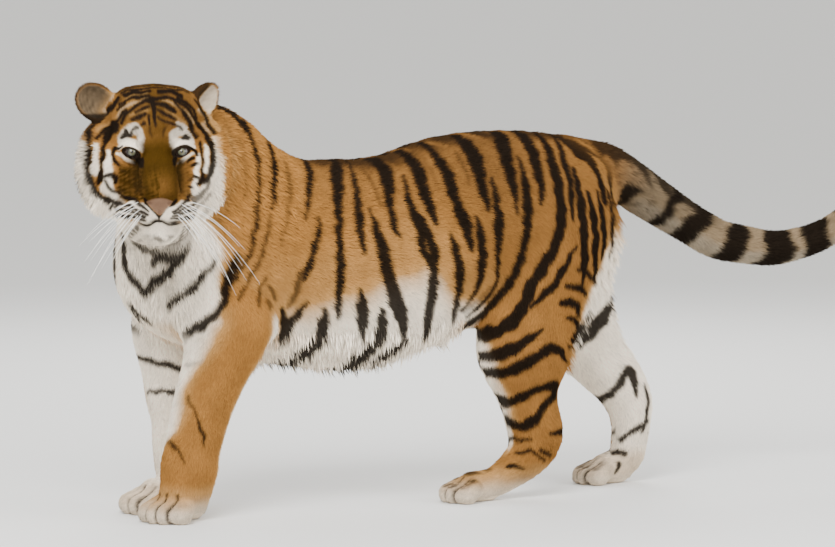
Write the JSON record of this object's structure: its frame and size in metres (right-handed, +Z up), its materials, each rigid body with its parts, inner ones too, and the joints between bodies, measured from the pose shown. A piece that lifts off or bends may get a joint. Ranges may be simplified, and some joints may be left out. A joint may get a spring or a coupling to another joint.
{
  "type": "bengal tiger",
  "caption": "Life-size standing tiger in a striped winter coat, walking pose with its head turned to look over its left side and its long ringed tail held low.",
  "frame": {"origin": "on the floor, under the middle of the animal's box", "axes": "+Z up; the tiger walks towards -X, so +Y is its right side and the camera side is -Y"},
  "size_m": [2.3747, 0.682, 1.0757],
  "materials": {
    "orange_fur": "short dense orange fur with black stripes",
    "white_fur": "soft white fur with dark bars",
    "tail_fur": "greyish white fur with black rings",
    "ear_fur": "thin pale fur inside, black outside",
    "eye": "wet, yellow-green iris with a round pupil"
  },
  "bodies": {
    "root": {"left_ear": "ear_fur", "right_ear": "ear_fur", "head": "orange_fur", "tail_tip": "tail_fur", "tail_middle": "tail_fur", "tail_base": "orange_fur", "left_forepaw": "white_fur", "right_forepaw": "white_fur", "left_forearm": "orange_fur", "right_forearm": "white_fur", "left_hind_paw": "white_fur", "right_hind_paw": "white_fur", "left_shank": "orange_fur", "right_shank": "white_fur", "left_thigh": "orange_fur", "right_thigh": "orange_fur", "neck": "orange_fur", "trunk": "orange_fur", "right_eye": "eye", "left_eye": "eye"}
  },
  "joints": []
}
